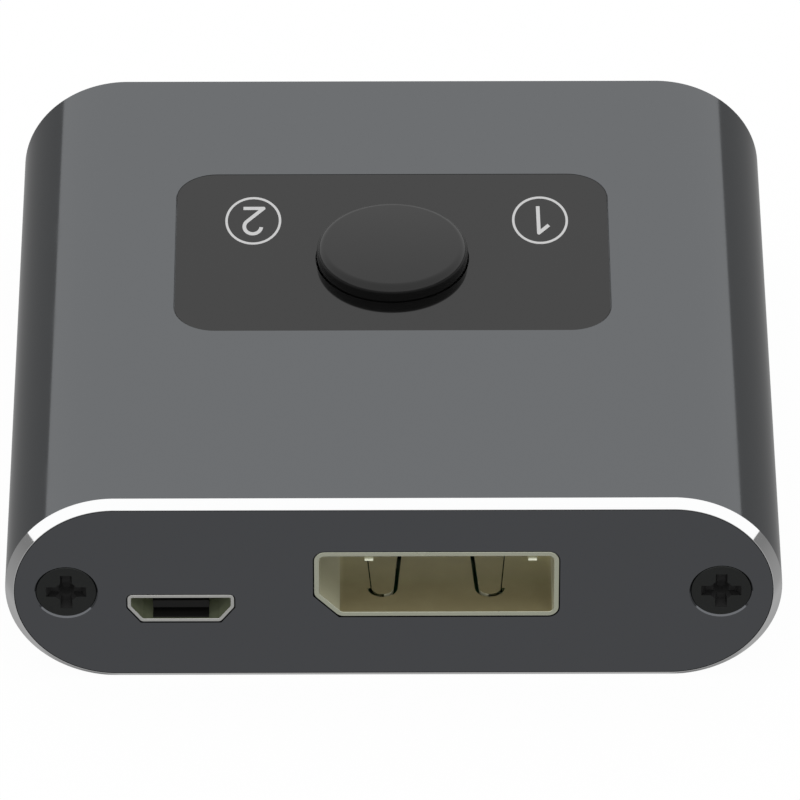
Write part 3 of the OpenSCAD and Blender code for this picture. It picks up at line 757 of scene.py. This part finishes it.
def pocket_tools(tree, size):
    """What is milled out for the panel: a pocket with upright walls, and its broken upper edge."""
    start = less(tree, size["Pocket depth"], size["Pocket break"])
    low = moved(tree, pocket_block(tree, size, 0.0, WELD), spot(tree, z=start))
    high = moved(tree, pocket_block(tree, size, size["Pocket break"], size["Height"]),
                 spot(tree, z=size["Pocket depth"]))
    return [pocket_block(tree, size, 0.0, size["Height"]), hull(tree, [low, high])]


print("pocket ready")

# %% [markdown]
# ## The tube as one tree
# Now the tube's steps follow each other as in the workshop: the wall is drawn, bosses, webs and
# rails are welded in, and the holes and the pocket are cut. Each fitting is made once for the right
# side, and a half turn about Z gives the left one. The cuts could be modifiers on the finished mesh,
# but in one tree they follow every change of size.

# %% Build the tube's tree
BUTTON_HOLE_SIDES = 96
LAMP_HOLE_SIDES = 32


def tube_tree():
    lengths = ["Width", "Height", "Length", "Wall", "Chamfer", "Land", "Plate", "Boss",
               "Screw hole", "Pocket width", "Pocket length", "Pocket corner", "Pocket depth",
               "Pocket break", "Button hole", "Lamp hole"]
    places = ["Boss place", "Web size", "Web place", "Rail size", "Rail place", "Pocket place",
              "Button place"]
    tree, size = shape_tree("drawn_tube", lengths, places)
    along_y = (pi / 2, 0, 0)
    wall = swept(tree, stadium(tree, size["Width"], size["Height"]), tube_section(tree, size))
    tube = moved(tree, wall, spot(tree, z=halved(tree, size["Height"])), along_y)
    between = less(tree, size["Length"], times(tree, size["Plate"], 2))
    boss = moved(tree, rod(tree, size["Boss"], between), size["Boss place"], along_y)
    web = moved(tree, block(tree, size["Web size"]), size["Web place"])
    rail = moved(tree, block(tree, size["Rail size"]), size["Rail place"])
    fittings = [boss, web, rail]
    fittings += [moved(tree, fitting, turn=(0, 0, pi)) for fitting in fittings]
    hole = moved(tree, rod(tree, size["Screw hole"], size["Length"]), size["Boss place"], along_y)
    pocket = [moved(tree, tool, size["Pocket place"]) for tool in pocket_tools(tree, size)]
    button = moved(tree, rod(tree, size["Button hole"], size["Height"], BUTTON_HOLE_SIDES),
                   size["Button place"])
    lamps = on_seeds(tree, size, rod(tree, size["Lamp hole"], size["Height"], LAMP_HOLE_SIDES))
    solid = cut(tree, welded(tree, [tube] + fittings), [hole, moved(tree, hole, turn=(0, 0, pi))])
    solid = cut(tree, solid, pocket + [button, lamps])
    close_tree(tree, solid, dyed_grey, [(chamfer_faces(tree, size), bright_cut)])
    return tree


print("tube tree ready")

# %% Make the tube
TUBE_WALL = 1.4 * MM
CHAMFER = 0.58 * MM
LAND = 0.04 * MM
SCREW_X = 22.75 * MM
SCREW_HOLE = 1.3 * MM
BOSS_RADIUS = 2.3 * MM
BOSS_WEB = 2.3 * MM
RAIL = 1.0 * MM
RAIL_REACH = 1.4 * MM
RAIL_ROOT = 24.6 * MM
PANEL_CLEARANCE = 0.03 * MM
PANEL_CORNER = 2.9 * MM
PANEL_BREAK = 0.045 * MM
BUTTON_HOLE = 5.49 * MM
LAMP_HOLE = 1.25 * MM


def middle_of(node):
    """The middle of the box round a piece of the frame."""
    low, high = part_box(node)
    return (low + high) / 2


tube_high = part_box("housing_shell")[1]
plate_low, plate_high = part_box("front_plate")
panel_low, panel_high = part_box("control_panel")
board_low, board_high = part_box("main_board")
middle_z = tube_high.z / 2
side_wall = tube_high.x - TUBE_WALL / 2
rail_in = board_high.x - RAIL_REACH
inside_length = -2 * plate_high.y
tube_sizes = {
    "Width": 2 * tube_high.x, "Height": tube_high.z, "Length": 2 * tube_high.y, "Wall": TUBE_WALL,
    "Chamfer": CHAMFER, "Land": LAND, "Plate": plate_high.y - plate_low.y, "Boss": BOSS_RADIUS,
    "Screw hole": SCREW_HOLE, "Boss place": (SCREW_X, 0, middle_z),
    "Web size": (side_wall - SCREW_X, inside_length, BOSS_WEB),
    "Web place": ((side_wall + SCREW_X) / 2, 0, middle_z),
    "Rail size": (RAIL_ROOT - rail_in, inside_length, RAIL),
    "Rail place": ((RAIL_ROOT + rail_in) / 2, 0, board_low.z - RAIL / 2),
    "Pocket width": panel_high.x - panel_low.x + 2 * PANEL_CLEARANCE,
    "Pocket length": panel_high.y - panel_low.y + 2 * PANEL_CLEARANCE,
    "Pocket corner": PANEL_CORNER, "Pocket depth": tube_high.z - panel_low.z,
    "Pocket break": PANEL_BREAK,
    "Pocket place": (0, middle_of("control_panel").y, panel_low.z),
    "Button hole": BUTTON_HOLE, "Lamp hole": LAMP_HOLE,
    "Button place": (0, middle_of("button_cap").y, tube_high.z),
}
lamps = [middle_of("light_pipe_1"), middle_of("light_pipe_2")]
lamp_seeds = [(lamp.x, lamp.y, tube_high.z) for lamp in lamps]
tube = run_tree("tube", tube_tree(), tube_sizes, lamp_seeds, [0, 0])
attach(tube, "case")
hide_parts("housing_shell")

# %% [markdown]
# ## The screws
# Four countersunk steel screws hold the end plates. They could be four copies placed by hand, but they are
# all alike, so one is turned, gets its cross recess, and is then set on four seed points: the rear pair is
# turned half a turn about Z. The recess is pressed by a tapering punch, so each arm is the skin between a
# wide mouth and a smaller foot, and a blunt cone is sunk in the middle. The recess carries painted shade: a
# darker and duller black than the head.

# %% Build the screw's tree
FOOT_SHARE = 0.75
CORE_SIDES = 32
SCREW_SIDES = 64
# The recess lies within a share of the cross's length, from a share of the edge's height down to
# some times the cross's depth.
PRESSED_REACH = 0.46
PRESSED_START = -0.2
PRESSED_END = -2.5


def recess(tree, size):
    """The punch that makes the cross recess, upright, with its mouth at the head's face."""
    lip = size["Edge"]
    foot_length = times(tree, size["Cross length"], FOOT_SHARE)
    foot_width = times(tree, size["Cross width"], FOOT_SHARE)
    mouth = block(tree, spot(tree, size["Cross length"], size["Cross width"], lip))
    foot = block(tree, spot(tree, foot_length, foot_width, lip))
    arm = hull(tree, [mouth, moved(tree, foot, spot(tree, z=minus(tree, size["Cross depth"])))])
    deep = times(tree, size["Cross depth"], 2)
    core = put(tree, "GeometryNodeMeshCone", {
        "Vertices": CORE_SIDES, "Radius Top": size["Cross width"], "Depth": deep,
        "Radius Bottom": halved(tree, foot_width)}).outputs["Mesh"]
    core = moved(tree, core, spot(tree, z=minus(tree, deep)))
    return welded(tree, [arm, moved(tree, arm, turn=(0, 0, pi / 2)), core])


def pressed(tree, size):
    """Picks the faces of the recess: below the head's face and close to the axis."""
    place = place_of(tree)
    reach = put(tree, "ShaderNodeVectorMath", {0: spot(tree, place["X"], place["Y"])},
                operation="LENGTH").outputs["Value"]
    near = calc(tree, "LESS_THAN", reach, times(tree, size["Cross length"], PRESSED_REACH))
    start = times(tree, size["Edge"], PRESSED_START)
    end = times(tree, size["Cross depth"], PRESSED_END)
    below = calc(tree, "LESS_THAN", place["Z"], start)
    shallow = calc(tree, "GREATER_THAN", place["Z"], end)
    return times(tree, near, times(tree, below, shallow))


def screw_tree():
    tree, size = shape_tree("cross_screw", ["Head radius", "Shank radius", "Length", "Edge", "Point",
                                            "Cross length", "Cross width", "Cross depth"])
    head, shank, edge = size["Head radius"], size["Shank radius"], size["Edge"]
    neck = less(tree, less(tree, shank, head), edge)
    end = minus(tree, size["Length"])
    point = less(tree, shank, size["Point"])
    corners = [(0.0, 0.0), (less(tree, head, edge), 0.0), (head, minus(tree, edge)), (shank, neck),
               (shank, plus(tree, end, size["Point"])), (point, end), (0.0, end)]
    screw = cut(tree, turned(tree, corners, [0.0] * len(corners), SCREW_SIDES), [recess(tree, size)])
    screw = mark_faces(tree, screw, pressed(tree, size))
    screw = on_seeds(tree, size, moved(tree, screw, turn=(pi / 2, 0, 0)))
    # The recess faces get painted shade.
    close_tree(tree, screw, black_steel, [(marked(tree), painted_recess_shade)])
    return tree


print("screw tree ready")

# %% Make the screws
screw_low, screw_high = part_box("front_screws")
rear_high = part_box("rear_screws")[1]
screw_sizes = {
    "Head radius": (screw_high.z - screw_low.z) / 2, "Shank radius": 1.25 * MM,
    "Length": screw_high.y - screw_low.y, "Edge": 0.03 * MM, "Point": 0.12 * MM,
    "Cross length": 2.8 * MM, "Cross width": 0.82 * MM, "Cross depth": 0.45 * MM,
}
screw_seeds = [(side * SCREW_X, y, middle_z) for y in (screw_low.y, rear_high.y) for side in (-1, 1)]
screws = run_tree("cross_screws", screw_tree(), screw_sizes, screw_seeds, [0, 0, pi, pi])
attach(screws, "case")
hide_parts("front_screws", "rear_screws")

# %% [markdown]
# ## Port shells
# A port's shell is thin sheet that is bent round the port's outline. It could be a block with a hole cut in
# it, but then its soft edges would need bevels. In a sweep they come by themselves: the sheet's section,
# with two soft edges at the rim, is carried round an outline with one or two cut corners. The rim keeps its
# bright plating, but the inside gets a finish of its own with painted light in it. Its faces are those that
# look towards the port's middle.

# %% Bend sheet round a port's outline
def bent_sheet(tree, size, cut_sides):
    """A port's shell with its rim at y = 0 and its underside at z = 0, cut on one or both sides."""
    half = halved(tree, size["Width"])
    near = less(tree, half, size["Cut width"])
    left = [(minus(tree, half), size["Cut height"]), (minus(tree, near), 0.0)]
    right = [(near, 0.0), (half, size["Cut height"])] if cut_sides == 2 else [(half, 0.0)]
    corners = right + [(half, size["Height"]), (minus(tree, half), size["Height"])] + left
    path = outline(tree, corners, [size["Round"]] * len(corners))
    inner = minus(tree, size["Wall"])
    section = outline(tree, [(0.0, 0.0), (0.0, size["Depth"]), (inner, size["Depth"]), (inner, 0.0)],
                      [size["Lip"], 0.0, 0.0, size["Lip"]])
    return moved(tree, swept(tree, path, section), turn=(pi / 2, 0, 0))


def inside(tree, size):
    """Picks the faces that look towards the port's middle, behind the rim."""
    look = look_of(tree)
    place = place_of(tree)
    rise = less(tree, place["Z"], halved(tree, size["Height"]))
    outward = plus(tree, times(tree, look["X"], place["X"]), times(tree, look["Z"], rise))
    inward = calc(tree, "LESS_THAN", outward, minus(tree, size["Wall"]))
    behind = calc(tree, "GREATER_THAN", place["Y"], size["Lip"])
    return times(tree, inward, behind)


def not_floor(tree):
    """Picks the faces that look sideways or down."""
    return calc(tree, "LESS_THAN", look_of(tree)["Z"], sqrt(0.5))


print("sheet ready")

# %% [markdown]
# ## The inside of a port
# The inside of a port is made to look light further in, where hardly any daylight comes, and on the sides.
# A small lamp in each port would lighten it too, but it would also light what lies round it. So the linings
# carry painted light: one more effect measures how deep a place lies behind the rim, and it mixes a dark
# tone at the rim with a light tone further in, and the sides get lighter tones than the floor.

# %% Mix the linings
RIM_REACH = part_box("input_1_port_shell")[1].y


def depth_group():
    """Depth behind the rims: 0 at a rim, and 1 at the depth that the scale gives."""
    tree, scale, place = effect_group("port_depth", "Depth")
    depth = less(tree, RIM_REACH, calc(tree, "ABSOLUTE", parts_of(tree, place)["Y"]))
    share = out(tree, "ShaderNodeMath", {0: depth, 1: scale}, operation="MULTIPLY", use_clamp=True)
    put(tree, "NodeGroupOutput", {"Depth": share})
    return tree


port_depth = depth_group()


def lining(name, dark, light, depth, curve, **plain):
    """Sheet with painted light: a dark tone at the rim turns to a light one at a depth in millimetres."""
    return finish(name, dark, light, (0.42, 0.5), 0.08, 0.0006, lines=True, tone=(port_depth, depth, curve),
                  **plain)


# Painted light: the floor and sides of the video ports and the inlet's inside grow lighter deeper in, and
# the sides are lighter than the floor.
port_floor_painted_light = lining("port_floor_with_painted_light", (0.245, 0.212, 0.115), (0.99, 0.93, 0.60), 6.5, 3, IOR=1.45)
port_side_painted_light = lining("port_side_with_painted_light", (0.46, 0.45, 0.32), (0.97, 0.95, 0.74), 6.5, 3, IOR=1.45)
inlet_painted_light = lining("inlet_lining_with_painted_light", (0.17, 0.19, 0.12), (0.45, 0.49, 0.33), 2.5, 1, Metallic=0.3)
print("linings ready")

# %% [markdown]
# ## The video ports
# Each of the three video shells has two spring fingers in its floor. A finger is cut free on its
# inner side and round its tip, while its outer side is only a hairline. The slots could be painted on
# as dark lines, but real cuts also show their depth. Two small latch tabs are bent down and forward
# from the roof, and four legs go through the board. One shell is made, and set at the front and
# twice at the rear.

# %% Cut the fingers
TIP_SIDES = 48
THROUGH_SHEET = 4
KEPT_SHIFT = 0.6


def finger(tree, size, grow):
    """A tapering finger, grown all round, as an upright solid in its own place along Y."""
    tall = times(tree, size["Wall"], THROUGH_SHEET)
    radius = plus(tree, size["Finger tip"], grow)
    start = plus(tree, size["Finger inset"], size["Finger tip"])
    end = plus(tree, size["Finger inset"], size["Finger length"])
    width = times(tree, plus(tree, size["Finger root"], grow), 2)
    tip = moved(tree, rod(tree, radius, tall, TIP_SIDES), spot(tree, y=start))
    root = moved(tree, block(tree, spot(tree, width, size["Slit"], tall)), spot(tree, y=end))
    return hull(tree, [tip, root])


def finger_slot(tree, size, side):
    """What is cut away round a finger: a wide slot that ends in a hook, and a hairline."""
    solid = finger(tree, size, 0.0)
    width = times(tree, size["Finger root"], 2)
    # Past the hook, the sheet on the finger's outer side is kept.
    kept = block(tree, spot(tree, width, size["Finger length"], size["Finger length"]))
    reach = halved(tree, size["Finger length"])
    aside = times(tree, width, KEPT_SHIFT * side)
    kept = moved(tree, kept, spot(tree, aside, plus(tree, size["Hook"], reach)))
    slot = cut(tree, finger(tree, size, size["Slot"]), [solid, kept])
    hairline = cut(tree, finger(tree, size, size["Slit"]), [solid])
    place = spot(tree, times(tree, size["Finger place"], float(side)))
    return [moved(tree, tool, place) for tool in (slot, hairline)]


print("fingers ready")

# %% Bend the tabs and the legs
TAB_LEAN = pi / 4
LEG_SHARE = 0.9


def latch_tab(tree, size, place):
    """A short tongue that hangs from the roof and points forward."""
    roof = less(tree, size["Height"], size["Wall"])
    half = times(tree, size["Tab length"], sin(TAB_LEAN) / 2)
    plate = block(tree, spot(tree, size["Tab width"], size["Tab length"], size["Slit"]))
    height = plus(tree, less(tree, roof, size["Tab drop"]), half)
    return moved(tree, plate, spot(tree, place, plus(tree, size["Tab inset"], half), height),
                 (TAB_LEAN, 0, 0))


def legs(tree, size):
    """Two legs on each side, from the shell's sides down through the board."""
    sheet = times(tree, size["Wall"], LEG_SHARE)
    leg = block(tree, spot(tree, sheet, size["Leg width"], size["Leg length"]))
    side = less(tree, halved(tree, size["Width"]), halved(tree, size["Wall"]))
    height = less(tree, halved(tree, size["Height"]), halved(tree, size["Leg length"]))
    return [moved(tree, leg, spot(tree, x, size[y], height))
            for x in (side, minus(tree, side)) for y in ("Front leg", "Rear leg")]


print("tabs and legs ready")

# %% Make the video shells
def video_tree():
    tree, size = shape_tree("video_shell", [
        "Width", "Height", "Depth", "Wall", "Round", "Lip", "Cut width", "Cut height",
        "Finger place", "Finger inset", "Finger tip", "Finger root", "Finger length", "Slot", "Slit",
        "Hook", "Left tab", "Right tab", "Tab width", "Tab length", "Tab drop", "Tab inset",
        "Leg width", "Leg length", "Front leg", "Rear leg"])
    sheet = cut(tree, bent_sheet(tree, size, 1), finger_slot(tree, size, -1) + finger_slot(tree, size, 1))
    tabs = [latch_tab(tree, size, size[tab]) for tab in ("Left tab", "Right tab")]
    shell = mark_faces(tree, welded(tree, [sheet] + tabs + legs(tree, size)), inside(tree, size))
    # The inside faces get painted light, and the sides a lighter painted tone than the floor.
    sides = times(tree, marked(tree), not_floor(tree))
    close_tree(tree, on_seeds(tree, size, shell), warm_plate,
               [(marked(tree), port_floor_painted_light), (sides, port_side_painted_light)])
    return tree


video_mm = {
    "Height": 5.54, "Wall": 0.35, "Round": 0.75, "Lip": 0.03, "Cut width": 1.75, "Cut height": 1.8,
    "Finger place": 3.74, "Finger inset": 2.04, "Finger tip": 0.76, "Finger root": 1.1,
    "Finger length": 5.4, "Slot": 0.3, "Slit": 0.08, "Hook": 2.75, "Left tab": -4.69,
    "Right tab": 6.66, "Tab width": 0.6, "Tab length": 1.0, "Tab drop": 0.6, "Tab inset": 0.3,
    "Leg width": 1.2, "Leg length": 5.31, "Front leg": 3.5, "Rear leg": 9.0,
}
video_sizes = {name: value * MM for name, value in video_mm.items()}
shell_low, shell_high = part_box("output_port_shell")
video_sizes["Width"] = shell_high.x - shell_low.x
video_sizes["Depth"] = shell_high.y - shell_low.y
port_z = shell_high.z - video_sizes["Height"]
port_seeds = [(middle_of("output_port_shell").x, shell_low.y, port_z)]
port_seeds += [(middle_of(node).x, -shell_low.y, port_z)
               for node in ("input_1_port_shell", "input_2_port_shell")]
video_shells = run_tree("video_shells", video_tree(), video_sizes, port_seeds, [0, pi, pi])
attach(video_shells, "case")
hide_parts("output_port_shell", "input_1_port_shell", "input_2_port_shell")

# %% [markdown]
# ## The power inlet
# The small inlet is the same kind of bent sheet, with both of its lower corners cut. A shrunken copy
# of a video shell would have the wrong corners and a sheet that is too thin, so the same helper
# makes it from sizes of its own.

# %% Make the inlet's shell
def inlet_tree():
    tree, size = shape_tree("inlet_shell", ["Width", "Height", "Depth", "Wall", "Round", "Lip",
                                            "Cut width", "Cut height"])
    shell = mark_faces(tree, bent_sheet(tree, size, 2), inside(tree, size))
    # The inside faces get painted light, lighter deeper in.
    close_tree(tree, on_seeds(tree, size, shell), cool_plate, [(marked(tree), inlet_painted_light)])
    return tree


inlet_low, inlet_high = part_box("power_port_shell")
inlet_sizes = {
    "Width": inlet_high.x - inlet_low.x, "Height": inlet_high.z - inlet_low.z,
    "Depth": inlet_high.y - inlet_low.y, "Wall": 0.25 * MM, "Round": 0.35 * MM, "Lip": 0.03 * MM,
    "Cut width": 0.95 * MM, "Cut height": 1.25 * MM,
}
inlet_seed = (middle_of("power_port_shell").x, inlet_low.y, inlet_low.z)
inlet_shell = run_tree("inlet_shell", inlet_tree(), inlet_sizes, [inlet_seed])
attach(inlet_shell, "case")
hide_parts("power_port_shell")

# %% [markdown]
# ## The button
# The button is moulded as a round cap with a soft rim. A flange under the tube's wall keeps it from
# falling out, and a stem in its middle presses on the switch. It could be stacked from rods, but it
# is the same all round, so it is a turned piece: one half section, carried round a circle.

# %% Make the button
BUTTON_SIDES = 160


def button_tree():
    tree, size = shape_tree("push_button", ["Radius", "Top", "Rim", "Wall", "Flange", "Flange top",
                                            "Flange bottom", "Stem", "Stem bottom"])
    bore = less(tree, size["Radius"], size["Wall"])
    roof = less(tree, size["Top"], size["Wall"])
    corners = [(0.0, size["Top"]), (size["Radius"], size["Top"]), (size["Radius"], size["Flange top"]),
               (size["Flange"], size["Flange top"]), (size["Flange"], size["Flange bottom"]),
               (bore, size["Flange bottom"]), (bore, roof), (size["Stem"], roof),
               (size["Stem"], size["Stem bottom"]), (0.0, size["Stem bottom"])]
    radii = [0.0, size["Rim"]] + [0.0] * (len(corners) - 2)
    close_tree(tree, on_seeds(tree, size, turned(tree, corners, radii, BUTTON_SIDES)), black_cap)
    return tree


cap_low, cap_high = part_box("button_cap")
button_sizes = {
    "Radius": 5.39 * MM, "Top": cap_high.z, "Rim": 0.6 * MM, "Wall": 1.2 * MM,
    "Flange": (cap_high.x - cap_low.x) / 2, "Flange top": 13.9 * MM, "Flange bottom": 13.1 * MM,
    "Stem": 2.0 * MM, "Stem bottom": cap_low.z,
}
button = run_tree("push_button", button_tree(), button_sizes, [(0, middle_of("button_cap").y, 0)])
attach(button, "button")
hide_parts("button_cap")

# %% [markdown]
# ## The marks on the panel
# The panel carries a plain 1 and a plain 2, each in a ring, printed in white ink over its lamp.
# They read from the rear, where the inputs are. Type from a font would do, but these are drawn
# with a pen of even width, so each stroke is a thin flat bar along a line or an arc. The ink is
# two hundredths of a millimetre thick. The print is drawn half as tall again as it is wide.

# %% Draw strokes of ink
INK = 0.02 * MM
INK_LIFT = 0.4 * INK
RING_RADIUS = 1.92 * MM
RING_PEN = 0.175 * MM
PEN = 0.265 * MM
STRETCH = 1.473
DOT_SIDES = 24
BOW_STEPS = 40
RING_STEPS = 128


def stroke(tree, path, width, caps=True):
    """A flat bar of ink along a path."""
    return swept(tree, path, rectangle(tree, width, INK), caps)


def dot(tree, place):
    """Ink at a corner, where two strokes meet."""
    return moved(tree, rod(tree, PEN / 2, INK, DOT_SIDES), (*place, 0))


def straight(tree, start, end):
    return stroke(tree, line(tree, (*start, 0), (*end, 0)), PEN)


def figure_one(tree):
    flag, peak, foot = (-0.62 * MM, 0.42 * MM), (0.10 * MM, 1.08 * MM), (0.14 * MM, -1.18 * MM)
    return welded(tree, [straight(tree, flag, peak), straight(tree, peak, foot), dot(tree, peak)])


def figure_two(tree):
    centre, radius = Vector((0.03 * MM, 0.49 * MM)), 0.61 * MM
    start, end = radians(175), radians(-47)
    bow = out(tree, "GeometryNodeCurveArc", {"Resolution": BOW_STEPS, "Radius": radius, "Start Angle": end,
                                             "Sweep Angle": start - end}, mode="RADIUS")
    bow = stroke(tree, moved(tree, bow, (*centre, 0)), PEN)
    neck = centre + radius * Vector((cos(end), sin(end)))
    heel, toe = (-0.73 * MM, -1.05 * MM), (0.72 * MM, -1.05 * MM)
    return welded(tree, [bow, straight(tree, neck, heel), straight(tree, heel, toe), dot(tree, neck),
                         dot(tree, heel)])


print("strokes ready")

# %% Print the marks
def mark_tree(name, figure):
    """A figure in a ring, stretched, turned to the rear and set on its seed point."""
    tree, size = shape_tree(name, ["Stretch"])
    ring = stroke(tree, circle(tree, RING_RADIUS, RING_STEPS), RING_PEN, False)
    mark = joined(tree, [ring, figure(tree)])
    mark = out(tree, "GeometryNodeTransform", {"Geometry": mark, "Rotation": (0, 0, pi),
                                               "Scale": spot(tree, 1.0, size["Stretch"], 1.0)})
    close_tree(tree, on_seeds(tree, size, mark), white_ink)
    return tree


for number, figure in enumerate((figure_one, figure_two)):
    name = "panel_mark_" + str(number + 1)
    seed = (lamps[number].x, lamps[number].y, panel_high.z + INK_LIFT)
    mark = run_tree(name, mark_tree(name, figure), {"Stretch": STRETCH}, [seed])
    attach(mark, "case")
